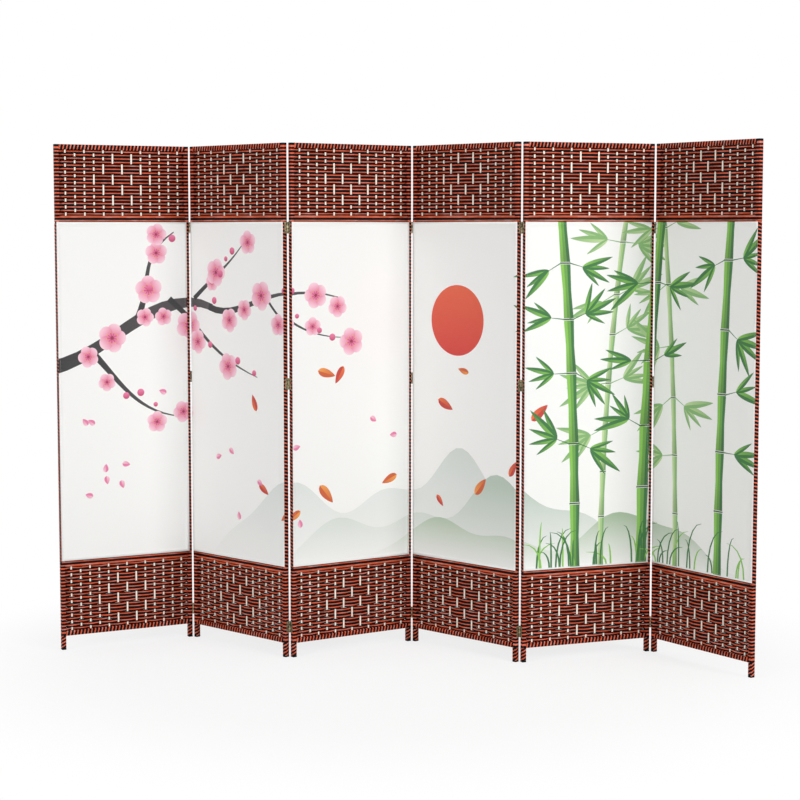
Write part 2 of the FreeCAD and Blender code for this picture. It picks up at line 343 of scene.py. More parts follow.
def metal_finish(name, colour, tarnished_and_shaded, roughness):
    """Stamped metal with cloudy darker patches, partly oxide and partly a painted reflection that makes the
    leaves darker and brighter in turn, and fine scratches.
    """
    finish = new_finish(name)
    spot = finish.coordinates("Object")
    cloud = finish.noise(spot, (160, 160, 160), 4)
    scratch = finish.noise(spot, (300, 300, 4000), 2)
    # Cloudy patches: partly oxide on the metal, partly painted dark and bright reflections on the hinge
    # leaves
    tarnish_and_reflection = finish.grades(cloud, (0.38, 0), (0.58, 1))
    inputs = {
        "Base Color": finish.mix(tarnish_and_reflection, colour, tinted(colour, tarnished_and_shaded)),
        "Metallic": 1.0,
        "Roughness": tarnish_and_reflection * 0.2 + scratch * 0.12 + roughness,
        "Normal": finish.bump(scratch + cloud, 0.15, 0.1 * MM),
    }
    return finish.surface(inputs)


def thread_finish(name, colour):
    """Spun sewing thread."""
    finish = new_finish(name)
    twist = finish.noise(finish.coordinates("Object"), (3000, 3000, 3000), 1)
    inputs = {
        "Base Color": finish.mix(twist, tinted(colour, 0.78), colour),
        "Roughness": twist * 0.2 + 0.6,
        "Normal": finish.bump(twist, 0.3, 0.1 * MM),
    }
    return finish.surface(inputs)


def link(name, data):
    piece = bpy.data.objects.new(name, data)
    bpy.context.scene.collection.objects.link(piece)
    return piece


def to_mesh(name, form):
    """Smooth mesh of a form, which is freed."""
    mesh = bpy.data.meshes.new(name)
    for face in form.faces:
        face.smooth = True
    form.to_mesh(mesh)
    form.free()
    return mesh


def lay(mesh, name, panel, finishes, nodes=()):
    """Puts a copy of a panel's piece where that panel stands."""
    copy = mesh.copy()
    copy.transform(panel_place(panel))
    piece = link(f"panel_{panel}_{name}", copy)
    for finish in finishes:
        copy.materials.append(finish)
    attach(piece, f"panel_{panel}")
    if nodes:
        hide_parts(*(f"panel_{panel}_{node}" for node in nodes))
    return piece


def lay_all(mesh, name, finishes, nodes=()):
    for panel in PANELS:
        lay(mesh, name, panel, finishes, nodes)
    bpy.data.meshes.remove(mesh)


def repaint(node, finish):
    """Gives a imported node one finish."""
    mesh = frame["nodes"][node].data
    mesh.materials.clear()
    mesh.materials.append(finish)


RED, BLACK = 0, 1
STRAND_SIDES = 8
# Width of a strand that presses on its neighbours, as a share of its room
PRESSED = 1.06


def rope_finishes():
    """The red and the black rope, made once."""
    rope = bpy.context.scene.screen_rope
    kinds = (("red_rope", rope.red, 0.26, 0.22), ("black_rope", rope.black, 0.4, 0.05))
    return [
        bpy.data.materials.get(name) or rope_finish(name, tuple(colour), roughness, shine)
        for name, colour, roughness, shine in kinds
    ]


def oval(half_deep, half_wide, sides=STRAND_SIDES):
    """Section of a strand: its depth first, then its width."""
    turns = [2 * math.pi * side / sides for side in range(sides)]
    return [(half_deep * math.cos(turn), half_wide * math.sin(turn)) for turn in turns]


# Section of wound rope as shares of its half depth and half width: flat where it lies on the wood
WOUND_SECTION = [(-0.9, -0.95), (0.45, -1.0), (1.0, -0.6), (1.0, 0.6), (0.45, 1.0), (-0.9, 0.95)]


def wound(half_wide):
    return [(HALF_ROPE * deep, half_wide * wide) for deep, wide in WOUND_SECTION]


def spline(curve, points, closed):
    line = curve.splines.new("POLY")
    line.points.add(len(points) - 1)
    line.points.foreach_set("co", np.column_stack((points, np.ones(len(points)))).ravel())
    line.use_cyclic_u = closed
    line.use_smooth = True


def sweep(routes, section, closed, finish_index):
    """Mesh of one strand along each route, with its UV map in metres along the strand."""
    outline = bpy.data.curves.new("section", "CURVE")
    spline(outline, np.column_stack((section, np.zeros(len(section)))), True)
    tool = link("section", outline)
    curve = bpy.data.curves.new("strands", "CURVE")
    curve.dimensions = "3D"
    curve.twist_mode = "Z_UP"
    curve.bevel_mode = "OBJECT"
    curve.bevel_object = tool
    curve.use_fill_caps = True
    for route in routes:
        spline(curve, np.asarray(route, float), closed)
    strands = link("strands", curve)
    mesh = bpy.data.meshes.new_from_object(strands.evaluated_get(bpy.context.evaluated_depsgraph_get()))
    along = np.linalg.norm(np.diff(np.asarray(routes[0], float), axis=0), axis=1).sum()
    places = np.empty(len(mesh.loops) * 2, np.float32)
    mesh.uv_layers[0].data.foreach_get("uv", places)
    places[::2] *= along
    mesh.uv_layers[0].data.foreach_set("uv", places)
    mesh.polygons.foreach_set("material_index", np.full(len(mesh.polygons), finish_index, np.int32))
    for helper, data in ((strands, curve), (tool, outline)):
        bpy.data.objects.remove(helper)
        bpy.data.curves.remove(data)
    return mesh


SAME_POINT = 0.001 * MM


def gather(name, meshes):
    """One closed mesh from several swept ones."""
    form = bmesh.new()
    for mesh in meshes:
        form.from_mesh(mesh)
        bpy.data.meshes.remove(mesh)
    bmesh.ops.remove_doubles(form, verts=form.verts, dist=SAME_POINT)
    bmesh.ops.recalc_face_normals(form, faces=form.faces)
    return to_mesh(name, form)


SLATS = 13
SLAT_INSET = 40 * MM
SLAT_DEPTH = 2.5 * MM
SLAT_STEP = (PANEL_WIDTH - 2 * SLAT_INSET) / (SLATS - 1)
ROWS = 19
ROW_PITCH = (LOWER_WEAVE[1] - LOWER_WEAVE[0]) / ROWS
DIAMOND_BANDS = (2, 3, 4, 3, 2)
BAND_ROWS = 3
FIRST_BAND_ROW = 2

# A row's end in the stile's binding, and its looseness there
ROW_TUCK = 2 * MM
ROW_END_INSET = ROPE_WALL + 0.4 * MM
ROW_SLACK = 0.9 * MM
SLACK_RANGE = (0.3, 1.2)

# Shape of a row: its arch over a slat, and how far it swings there, beside it, between slats and near a stile
ARCH = 9 * MM
SLAT_CLEARANCE = 1.25
BESIDE_SLAT = 0.9
BETWEEN_SLATS = 0.92
NEAR_STILE = 0.45
BLACK_SWELL = 1.25


def slat_shows(slat, row):
    """Whether a slat, counted from 1, shows in front of a row counted from the rail."""
    from_middle = slat - (SLATS + 1) // 2
    band = (row - FIRST_BAND_ROW) // BAND_ROWS
    if 0 <= band < len(DIAMOND_BANDS):
        reach = DIAMOND_BANDS[band] - 1
        if abs(from_middle) <= reach:
            return (from_middle + reach) % 2 == 0
    return (slat + row) % 2 == 0


def row_route(row, level, half_deep, slack):
    """A strand of one row, from stile to stile, behind the slats that show and in front of the others."""
    sides = [1 if slat_shows(slat, row) else -1 for slat in range(1, SLATS + 1)]
    swing = SLAT_DEPTH / 2 + half_deep * SLAT_CLEARANCE
    end_swing = MID_DEPTH - ROW_END_INSET
    start = STILE_WIDTH - ROW_TUCK
    end = PANEL_WIDTH - start
    dip = -slack if sides[0] < 0 else 0
    places = [
        (start, -sides[0] * end_swing, dip),
        (start + ARCH, -sides[0] * end_swing * NEAR_STILE, dip),
    ]
    for index, side in enumerate(sides):
        middle = SLAT_INSET + index * SLAT_STEP
        if index:
            crossing = (side + sides[index - 1]) / 2
            places.append((middle - SLAT_STEP / 2, crossing * swing * BETWEEN_SLATS, 0))
        places += [
            (middle - ARCH, side * swing * BESIDE_SLAT, 0),
            (middle, side * swing, 0),
            (middle + ARCH, side * swing * BESIDE_SLAT, 0),
        ]
    places += [
        (end - ARCH, -sides[-1] * end_swing * NEAR_STILE, -dip),
        (end, -sides[-1] * end_swing, -dip),
    ]
    return [(across, MID_DEPTH + deep, level + rise) for across, deep, rise in places]


def row_level(levels, row, from_top):
    """Middle height of a row, counted from the rail at the panel's end."""
    run = (row - 0.5) * ROW_PITCH
    return levels[1] - run if from_top else levels[0] + run


def woven_mesh(name, levels, from_top, draw):
    """Rows of a red strand between two thin black ones, over and under the slats."""
    rope = bpy.context.scene.screen_rope
    half_red = rope.red_width / 2
    half_black = (ROW_PITCH - rope.red_width) / 4
    half_deep = rope.strand_depth / 2
    reds, blacks = [], []
    for row in range(1, ROWS + 1):
        level = row_level(levels, row, from_top) + draw.uniform(-1, 1) * rope.unevenness
        loose = ROW_SLACK * draw.uniform(*SLACK_RANGE)
        reds.append(row_route(row, level, half_deep, loose))
        for side in (-1, 1):
            blacks.append(row_route(row, level + side * (half_red + half_black), half_deep, loose))
    parts = [
        sweep(reds, oval(half_deep, half_red), False, RED),
        sweep(blacks, oval(half_deep, half_black * BLACK_SWELL), False, BLACK),
    ]
    return gather(name, parts)


CORNER_POINTS = 3


def bar_outline(half_across, half_deep, corner):
    """Points round a bar's section, anticlockwise from above, and how far round each is."""
    points = []
    for quarter, (x, y) in enumerate(((1, -1), (1, 1), (-1, 1), (-1, -1))):
        for step in range(CORNER_POINTS):
            turn = math.radians(90 * (quarter - 1 + step / (CORNER_POINTS - 1)))
            across = x * (half_across - corner) + corner * math.cos(turn)
            deep = y * (half_deep - corner) + corner * math.sin(turn)
            points.append((across, deep))
    points = np.array(points)
    steps = np.linalg.norm(np.roll(points, -1, axis=0) - points, axis=1)
    shares = np.concatenate(([0], np.cumsum(steps)[:-1])) / steps.sum()
    return points, shares


def ring(outline, level):
    points, _ = outline
    return np.column_stack((points, np.full(len(points), level)))


def winding(outline, begin, end, lead, start):
    """A winding round a bar from one level to another: left-hand if it goes down, right-hand if up."""
    points, shares = outline
    turns_needed = abs(end - begin) / lead
    whole = np.arange(math.floor(start), math.ceil(start + turns_needed) + 1)
    turns = (whole[:, None] + shares[None, :]).ravel()
    turns = turns[(turns > start) & (turns < start + turns_needed)]
    turns = np.concatenate(([start], turns, [start + turns_needed]))
    across = np.interp(turns, shares, points[:, 0], period=1)
    deep = np.interp(turns, shares, points[:, 1], period=1)
    return np.column_stack((across, deep, begin + (end - begin) * (turns - start) / turns_needed))


# Ropes along a border from the weave outwards, as shares of its height
BORDER_SHARES = ((0.21, RED), (0.43, BLACK), (0.2, RED), (0.16, BLACK))


def border_strands(levels, away):
    """Levels, half widths and finishes of the ropes along a border, from the weave outwards."""
    level = ROW_PITCH / 4
    span = levels[1] - levels[0] - level
    strands = []
    for share, finish in BORDER_SHARES:
        half = share * span / 2
        place = level + half
        strands.append(((levels[0] + place) if away else (levels[1] - place), half, finish))
        level += 2 * half
    return strands


# Half widths of the level turns on a stile, and their places beside a rail as shares of its height
RED_RING = 2.3 * MM
BLACK_RING = 3.8 * MM
RAIL_RINGS = ((0.33, RED), (0.75, BLACK))
RAIL_RING_SHARE = 0.22
FOOT_RING = 3 * MM
FOOT_RING_SHARE = 0.86


def stile_rings():
    """Level turns of rope on a stile beside the rails, rows and borders: level, half width and finish."""
    rings = []
    for levels, from_top in ((LOWER_WEAVE, False), (UPPER_WEAVE, True)):
        for row in range(1, ROWS + 1):
            rings.append((row_level(levels, row, from_top), RED_RING, RED))
        for boundary in range(ROWS + 1):
            rings.append((levels[0] + boundary * ROW_PITCH, BLACK_RING, BLACK))
    rail = LOWER_WEAVE[0] - LEG_TOP
    for share, finish in RAIL_RINGS:
        rings.append((LOWER_WEAVE[0] - share * rail, RAIL_RING_SHARE * rail, finish))
        rings.append((UPPER_WEAVE[1] + share * rail, RAIL_RING_SHARE * rail, finish))
    rings.append((FOOT_RING, FOOT_RING * FOOT_RING_SHARE, BLACK))
    return rings + border_strands(LOWER_BORDER, True) + border_strands(UPPER_BORDER, False)


# Rope round a stile: its sharp corners, how far it is drawn in, and where it starts beside the cloth
STILE_CORNER = 0.4 * MM
STILE_INSET = 0.3 * MM
WINDING_SHARES = ((RED, 0.18), (BLACK, 0.34))
WINDING_TUCK = 5 * MM
WINDING_START = 0.6
LEG_INSET = 0.45 * MM
LEG_STRANDS = 4
LEG_SHARES = (0.8, 1.24)
LEG_TUCK = 3 * MM


def stile_outline(inset):
    drawn_in = HALF_ROPE + inset
    return bar_outline(STILE_WIDTH / 2 - drawn_in, MID_DEPTH - drawn_in, STILE_CORNER)


def stile_mesh(name, middle, draw):
    """Rope round a stile: level turns by the weave, a winding by the cloth and a slanted one on the leg."""
    rope = bpy.context.scene.screen_rope
    bound = stile_outline(STILE_INSET)
    parts = []
    groups = {}
    for level, half_wide, finish in stile_rings():
        strayed = level + draw.uniform(-1, 1) * rope.unevenness
        groups.setdefault((round(half_wide, 6), finish), []).append(ring(bound, strayed))
    for (half_wide, finish), routes in groups.items():
        parts.append(sweep(routes, wound(half_wide * PRESSED), True, finish))
    lead = rope.winding_lead
    for finish, share in WINDING_SHARES:
        top = CLOTH_LEVELS[1] + WINDING_TUCK - finish * lead / 2
        route = winding(bound, top, CLOTH_LEVELS[0] - WINDING_TUCK, lead, WINDING_START)
        parts.append(sweep([route], wound(lead * share), False, finish))
    leg = stile_outline(LEG_INSET)
    for strand in range(LEG_STRANDS):
        finish = strand % 2
        half_wide = rope.leg_lead / LEG_STRANDS / 2 * LEG_SHARES[finish]
        route = winding(leg, 2 * FOOT_RING, LEG_TOP + LEG_TUCK, rope.leg_lead, strand / LEG_STRANDS)
        parts.append(sweep([route], wound(half_wide), False, finish))
    form = gather(name, parts)
    form.transform(Matrix.Translation((middle, MID_DEPTH, 0)))
    return form


RAIL_CORNER = 0.8 * MM
RAIL_INSET = HALF_ROPE + 0.12 * MM
RAIL_TUCK = 1.5 * MM
RAIL_SHARES = ((RED, 0.78), (BLACK, 1.26))


def rail_mesh(name, low, high):
    """Rope wound round a top or bottom rail, modelled upright and laid along the panel."""
    rope = bpy.context.scene.screen_rope
    outline = bar_outline(MID_DEPTH - RAIL_INSET, (high - low) / 2 - RAIL_INSET, RAIL_CORNER)
    first, last = STILE_WIDTH - RAIL_TUCK, PANEL_WIDTH - STILE_WIDTH + RAIL_TUCK
    lead = (last - first) / rope.rail_turns
    parts = []
    for finish, share in RAIL_SHARES:
        route = winding(outline, last, first, lead, finish / 2)
        parts.append(sweep([route], wound(lead / 4 * share), False, finish))
    form = gather(name, parts)
    along_panel = Matrix(((0, 0, 1, 0), (1, 0, 0, MID_DEPTH), (0, 1, 0, (low + high) / 2), (0, 0, 0, 1)))
    form.transform(along_panel)
    return form


BORDER_TUCK = 2 * MM
BORDER_STEPS = 6


def border_mesh(name, levels, away):
    """Ropes that lie along a middle rail, on all four of its sides."""
    first, last = STILE_WIDTH - BORDER_TUCK, PANEL_WIDTH - STILE_WIDTH + BORDER_TUCK

    def along(deep, level):
        steps = range(BORDER_STEPS + 1)
        return [(first + (last - first) * step / BORDER_STEPS, deep, level) for step in steps]

    parts = []
    for level, half_wide, finish in border_strands(levels, away):
        routes = [along(deep, level) for deep in (HALF_ROPE, PANEL_DEPTH - HALF_ROPE)]
        parts.append(sweep(routes, oval(HALF_ROPE, half_wide * PRESSED), False, finish))
    across = (PANEL_DEPTH - 4 * HALF_ROPE) / 3
    for index, finish in enumerate((RED, BLACK, RED)):
        deep = 2 * HALF_ROPE + (index + 0.5) * across
        routes = [along(deep, level) for level in (levels[0] + HALF_ROPE, levels[1] - HALF_ROPE)]
        parts.append(sweep(routes, oval(across / 2 * PRESSED, HALF_ROPE), False, finish))
    return gather(name, parts)


CLOTH_INSET = 2.5 * MM
BARE_STRIP = 10.5 * MM
CLOTH_FRONT = -0.75 * MM
HEM_FRONT = CLOTH_FRONT - 0.25 * MM
PRINT_HEIGHT = CLOTH_LEVELS[1] - CLOTH_LEVELS[0]


def ray(turn):
    """Unit vector at an angle."""
    return Vector((math.cos(turn), math.sin(turn)))


class Print:
    """Painted shapes in painter's order, in metres across the six joined cloths and up from their foot."""

    def __init__(self, seed):
        self.shapes = []
        self.draw = random.Random(seed)

    def fill(self, outline, near, far=None, start=None, end=None):
        """A filled outline that runs from one colour to another between two points."""
        points = [Vector(point[:2]) for point in outline]
        turned = sum(a.x * b.y - b.x * a.y for a, b in zip(points, points[1:] + points[:1]))
        if turned < 0:
            points.reverse()
        start = Vector(start or points[0])
        end = Vector(end or (start.x + 1, start.y))
        self.shapes.append((points, Vector(near), Vector(far or near), start, end))

    def stroke(self, points, widths, near, far=None):
        """A brush stroke along points, with a width at each."""
        line = [Vector(point[:2]) for point in points]
        edges = []
        for index, point in enumerate(line):
            run = line[min(index + 1, len(line) - 1)] - line[max(index - 1, 0)]
            side = Vector((-run.y, run.x)).normalized() * widths[index] / 2
            edges.append((point + side, point - side))
        for (left, right), (next_left, next_right) in zip(edges, edges[1:]):
            self.fill((left, right, next_right, next_left), near, far, line[0], line[-1])

    def brush(self, start, lean, stop_lean, end, widths, near, far=None, count=14):
        """A curved stroke whose width runs evenly through the widths given."""
        points = interpolate_bezier(*(Vector((*point, 0)) for point in (start, lean, stop_lean, end)), count)
        places = np.linspace(0, len(widths) - 1, count)
        self.stroke(points, np.interp(places, range(len(widths)), widths), near, far)
        return [Vector(point[:2]) for point in points]

    def disc(self, middle, radius, near, far=None, count=28):
        x, y = middle
        turns = [2 * math.pi * index / count for index in range(count)]
        outline = [(x + radius * math.cos(turn), y + radius * math.sin(turn)) for turn in turns]
        self.fill(outline, near, far, (x, y + radius), (x, y - radius))

    def leaf(self, foot, turn, length, width, dark, light):
        """A pointed leaf in two halves, the upper one lighter."""
        along = ray(turn)
        aside = Vector((-along.y, along.x))
        foot = Vector(foot)
        shares = np.linspace(0, 1, 13)
        swell = np.abs(np.sin(math.pi * shares ** 0.72)) ** 0.8
        rib = [foot + along * (length * share) for share in shares]
        for sign, colour in ((1, light), (-1, dark)):
            edge = [point + aside * (sign * width / 2 * part) for point, part in zip(rib, swell)]
            self.fill(rib + edge[-2:0:-1], colour, dark, foot, rib[-1])


PETALS = 5
PETAL_POINTS = 24
STAMENS = 9


def blossom(art, middle, radius, turn):
    """Rounded petals round a dark heart with stamens."""
    middle = Vector(middle)
    rim = shade(252, 214, 226)
    throat = shade(226, 84, 142)
    for petal in range(PETALS):
        along = ray(turn + 2 * math.pi * petal / PETALS)
        aside = Vector((-along.y, along.x))
        outline = []
        for step in range(PETAL_POINTS):
            round_it = 2 * math.pi * step / PETAL_POINTS
            reach = 0.56 + 0.46 * math.cos(round_it)
            outline.append(middle + along * radius * reach + aside * radius * 0.5 * math.sin(round_it))
        art.fill(outline, throat, rim, middle + along * radius * 0.1, middle + along * radius)
    for stamen in range(STAMENS):
        tip = middle + ray(turn + 0.3 + 2 * math.pi * stamen / STAMENS) * radius * 0.42
        art.stroke((middle, tip), (radius * 0.035, radius * 0.03), shade(176, 40, 84))
        art.disc(tip, radius * 0.05, shade(236, 178, 60), count=8)
    art.disc(middle, radius * 0.12, shade(150, 34, 70), count=12)


HILL_STEPS = 60


def hills(art, ground):
    """Far hills that fade into mist towards their feet."""
    ranges = (
        (0.62, 2.35, 0.30, 0.10, shade(214, 221, 216), 1.7),
        (0.95, 2.75, 0.22, 0.08, shade(186, 202, 188), 0.4),
        (1.30, 3.00, 0.14, 0.06, shade(150, 180, 142), 2.9),
    )
    for first, last, crest, swing, tint, phase in ranges:
        top = []
        for step in range(HILL_STEPS + 1):
            share = step / HILL_STEPS
            across = first + (last - first) * share
            swell = math.sin(7.0 * across + phase) + 0.45 * math.sin(17.0 * across + 2 * phase)
            level = (crest + swing * swell) * math.sin(math.pi * share) ** 0.7
            top.append((across, max(level, 0.012)))
        foot = [(last, 0.004), (first, 0.004)]
        art.fill(top + foot, tint, ground, (0, crest + swing), (0, max(crest - 3.0 * swing, 0.0)))


def bamboo(art, foot, lean, girth, heights, dark, light):
    """A jointed stem: each length is three shaded strips between dark joints."""
    half_joint = 0.004
    medium = tuple((a + b) / 2 for a, b in zip(dark, light))
    for low, high in zip(heights, heights[1:]):
        ends = (low + half_joint, high - half_joint)
        bottom, top = (Vector((foot + lean * level * level, level)) for level in ends)
        waist = (bottom + top) / 2
        for strip, colour in enumerate((light, medium, dark)):
            left, right = ((part / 3 - 0.5) * girth for part in (strip, strip + 1))
            swells = (
                (bottom, left * 1.1),
                (bottom, right * 1.1),
                (waist, right * 0.92),
                (top, right * 1.12),
                (top, left * 1.12),
                (waist, left * 0.92),
            )
            outline = [place + Vector((aside, 0)) for place, aside in swells]
            art.fill(outline, colour, tinted(colour, 0.7), waist, bottom)
        knot = Vector((foot + lean * high * high, high))
        half = Vector((girth * 0.6, 0))
        art.stroke((knot - half, knot + half), (0.005, 0.005), tinted(dark, 0.35))


def leaf_spray(art, foot, turn, count, dark, light):
    """Bamboo leaves that fan out and droop from the end of a twig."""
    twig = Vector(foot) + ray(turn) * 0.05
    art.stroke((foot, twig), (0.004, 0.002), dark)
    for index in range(count):
        spread = turn + (index - (count - 1) / 2) * 0.42 + art.draw.uniform(-0.12, 0.12)
        length = art.draw.uniform(0.085, 0.15)
        art.leaf(twig, spread, length, length * 0.17, dark, light)


def grove(art):
    """Bamboo at the right: pale stems behind dark ones, with sprays of leaves and grass at the foot."""
    pale = (shade(128, 178, 108), shade(196, 220, 160))
    full = (shade(36, 112, 44), shade(132, 196, 72))
    stems = (
        (2.30, 0.06, 0.020, 0.16, pale),
        (2.62, -0.05, 0.022, 0.19, pale),
        (2.20, -0.04, 0.034, 0.22, full),
        (2.46, 0.05, 0.040, 0.25, full),
        (2.83, 0.03, 0.036, 0.23, full),
    )
    for foot, lean, girth, step, (dark, light) in stems:
        heights = [0.0]
        while heights[-1] < PRINT_HEIGHT:
            heights.append(heights[-1] + step * art.draw.uniform(0.85, 1.15))
        bamboo(art, foot, lean, girth, heights, dark, light)
        for level in heights[2:-1]:
            for side in (-1, 1):
                if art.draw.random() < 0.72:
                    lean_out = math.radians(90 + side * -art.draw.uniform(60, 130))
                    place = (foot + lean * level * level + side * girth * 0.5, level)
                    leaf_spray(art, place, lean_out, art.draw.choice((3, 4, 5)), dark, light)
    blades = 46
    for _ in range(blades):
        foot = art.draw.uniform(2.02, 2.98)
        reach = art.draw.uniform(-0.09, 0.09)
        tall = art.draw.uniform(0.05, 0.17)
        tint = art.draw.choice(full)
        way = ((foot, 0.006), (foot, tall * 0.6), (foot + reach * 0.4, tall), (foot + reach, tall))
        art.brush(*way, (0.007, 0.006, 0.001), tint, count=6)


def plum_branch(art):
    """A gnarled ink branch from the upper left, with twigs, blossoms, buds and fallen petals."""
    ink = shade(16, 16, 20)
    worn = shade(70, 64, 66)
    limbs = (
        ((-0.03, 0.69), (0.22, 0.74), (0.34, 0.98), (0.62, 0.90), (0.052, 0.040, 0.046, 0.024)),
        ((0.60, 0.902), (0.78, 0.84), (0.92, 1.02), (1.20, 0.94), (0.024, 0.022, 0.012, 0.004)),
        ((0.30, 0.86), (0.36, 1.00), (0.30, 1.08), (0.44, 1.17), (0.026, 0.016, 0.012, 0.004)),
        ((0.52, 0.93), (0.64, 1.02), (0.70, 1.04), (0.80, 1.14), (0.018, 0.014, 0.008, 0.003)),
        ((0.42, 0.93), (0.56, 0.80), (0.64, 0.72), (0.86, 0.66), (0.022, 0.014, 0.010, 0.003)),
        ((0.14, 0.73), (0.24, 0.62), (0.30, 0.52), (0.46, 0.50), (0.024, 0.016, 0.010, 0.003)),
        ((0.92, 0.93), (1.00, 0.84), (1.10, 0.80), (1.24, 0.80), (0.010, 0.008, 0.005, 0.002)),
    )
    flowers = []
    for limb in limbs:
        points = art.brush(*limb, ink, worn)
        flowers += points[3::2]
    bud = (shade(240, 128, 170), shade(196, 46, 104))
    for place in flowers:
        offset = Vector((art.draw.uniform(-0.03, 0.03), art.draw.uniform(-0.035, 0.035)))
        if art.draw.random() < 0.62:
            blossom(art, place + offset, art.draw.uniform(0.030, 0.052), art.draw.uniform(0, 6))
        else:
            art.disc(place + offset, art.draw.uniform(0.008, 0.014), *bud, count=20)
    fallen = 16
    for _ in range(fallen):
        place = (art.draw.uniform(0.1, 1.5), art.draw.uniform(0.1, 0.6))
        turn = art.draw.uniform(0, 6.2)
        art.leaf(place, turn, 0.03, 0.02, shade(232, 120, 164), shade(250, 206, 220))


def drifting_leaves(art):
    """A red sun disc and a few red and orange leaves blown across the middle."""
    art.disc((1.72, 0.86), 0.125, shade(232, 92, 52), shade(214, 44, 34), count=64)
    warm = ((shade(196, 44, 26), shade(236, 110, 44)), (shade(206, 84, 20), shade(244, 158, 60)))
    leaves = 13
    for index in range(leaves):
        place = (art.draw.uniform(0.85, 2.1), art.draw.uniform(0.16, 0.72))
        dark, light = warm[index % 2]
        length = art.draw.uniform(0.05, 0.085)
        art.leaf(place, art.draw.uniform(0, 6.2), length, length * 0.42, dark, light)


# Crease beside the hem, rim that counts as hem, and how slack the cloth is away from its rim
CREASE = 0.6 * MM
HEM_RIM = 0.1 * MM
CLOTH_SLACK = 0.9 * MM
SLACK_REACH = 80 * MM
SLACK_WAVES = (5, 3)
PRINT_SNAP = 0.02 * MM


def cloth_end(panel):
    """Right edge of a cloth, which stops shorter where the panel's right edge is drawn back."""
    return PANEL_WIDTH - (BARE_STRIP if panel % 2 else CLOTH_INSET)


def cloth_depth(place, low, high, hem):
    """Depth of a point of the cloth: even at the hem, and slack within it."""
    rim = min(place.x - low.x, high.x - place.x, place.y - low.y, high.y - place.y)
    if rim < hem + HEM_RIM:
        return HEM_FRONT
    give = min(1.0, rim / SLACK_REACH)
    across, upward = SLACK_WAVES
    wave = 0.5 + 0.5 * noise.noise(Vector((place.x * across, place.y * upward, 0)))
    return CLOTH_FRONT + CLOTH_SLACK * give * wave


def cut_cloth(low, high, art, cloth):
    """Points and triangles of a cloth that follow its hem and print, each with the shape printed on it."""
    points, edges, faces, painted = [], [], [], []

    def outline(corners):
        start = len(points)
        points.extend(corners)
        return list(range(start, len(points)))

    for inset in (0, cloth.hem, cloth.hem + CREASE):
        a, b = low + Vector((inset, inset)), high - Vector((inset, inset))
        loop = outline([a, Vector((b.x, a.y)), b, Vector((a.x, b.y))])
        edges += list(zip(loop, loop[1:] + loop[:1]))
    across = np.arange(low.x, high.x, cloth.mesh_step)[1:-1]
    upward = np.arange(low.y, high.y, cloth.mesh_step)[1:-1]
    outline([Vector((x, y)) for x in across for y in upward])
    for shape in art.shapes:
        corners = shape[0]
        if max(c.x for c in corners) > low.x and min(c.x for c in corners) < high.x:
            faces.append(outline(corners))
            painted.append(shape)
    places, _, triangles, _, _, covers = delaunay_2d_cdt(points, edges, faces, 0, PRINT_SNAP)
    kept = []
    for triangle, cover in zip(triangles, covers):
        middle = sum((places[index] for index in triangle), Vector((0, 0))) / 3
        if low.x < middle.x < high.x and low.y < middle.y < high.y:
            kept.append((triangle, painted[max(cover)] if cover else None))
    return places, kept


def print_colour(shape, place):
    """Colour of a printed shape at a place."""
    _, near, far, start, end = shape
    run = end - start
    share = (place - start).dot(run) / max(run.length_squared, 1e-9)
    return near.lerp(far, min(1.0, max(0.0, share)))


def cloth_mesh(panel, art):
    """One cloth, cut out of the joined print, with a hem and a slight slackness."""
    cloth = bpy.context.scene.screen_cloth
    ground = Vector(cloth.ground)
    first = (panel - 1) * PANEL_WIDTH
    low = Vector((first + CLOTH_INSET, 0))
    high = Vector((first + cloth_end(panel), PRINT_HEIGHT))
    places, kept = cut_cloth(low, high, art, cloth)
    used = sorted({index for triangle, _ in kept for index in triangle})
    number = {index: order for order, index in enumerate(used)}
    spots = []
    for place in (places[index] for index in used):
        spots.append((place.x - first, cloth_depth(place, low, high, cloth.hem), place.y + CLOTH_LEVELS[0]))
    colours, flat = [], []
    for triangle, shape in kept:
        for place in (places[index] for index in triangle):
            colours.extend((*(print_colour(shape, place) if shape else ground), 1))
            flat.extend(place)
    mesh = bpy.data.meshes.new("printed_cloth")
    mesh.from_pydata(spots, [], [[number[index] for index in triangle] for triangle, _ in kept])
    mesh.color_attributes.new("print", "FLOAT_COLOR", "CORNER").data.foreach_set("color", colours)
    mesh.uv_layers.new(name="threads").data.foreach_set("uv", flat)
    mesh.polygons.foreach_set("use_smooth", [True] * len(mesh.polygons))
    return mesh


# Stitches: distance from the hem's inner edge, height of their bow, depth of their ends, radius and spacing
STITCH_INSET = 1.6 * MM
STITCH_BOW = 0.18 * MM
STITCH_SINK = 0.1 * MM
THREAD_RADIUS = 0.22 * MM
THREAD_SIDES = 5
STITCH_SPACING = 1.5
# Where a stitch comes up within its step, and then bows and goes down
STITCH_UP, STITCH_MIDDLE, STITCH_DOWN = 0.16, 0.33, 0.67


def stitch_mesh(panel):
    """Stitches that hold the hem, a row along each side of a cloth."""
    cloth = bpy.context.scene.screen_cloth
    rise = cloth.hem - STITCH_INSET
    left, right = CLOTH_INSET + rise, cloth_end(panel) - rise
    foot, head = CLOTH_LEVELS[0] + rise, CLOTH_LEVELS[1] - rise
    corners = [Vector((x, 0, z)) for x, z in ((left, foot), (right, foot), (right, head), (left, head))]
    bow = Vector((0, HEM_FRONT - STITCH_BOW, 0))
    sunk = Vector((0, HEM_FRONT + STITCH_SINK, 0))
    routes = []
    for start, end in zip(corners, corners[1:] + corners[:1]):
        count = round((end - start).length / (cloth.stitch * STITCH_SPACING))
        step = (end - start) / count
        for index in range(count):
            begin = start + step * (index + STITCH_UP)
            bowed, ended = begin + step * STITCH_MIDDLE, begin + step * STITCH_DOWN
            routes.append([begin + sunk, bowed + bow, ended + sunk])
    return gather("hem_stitches", [sweep(routes, oval(THREAD_RADIUS, THREAD_RADIUS, THREAD_SIDES), False, 0)])


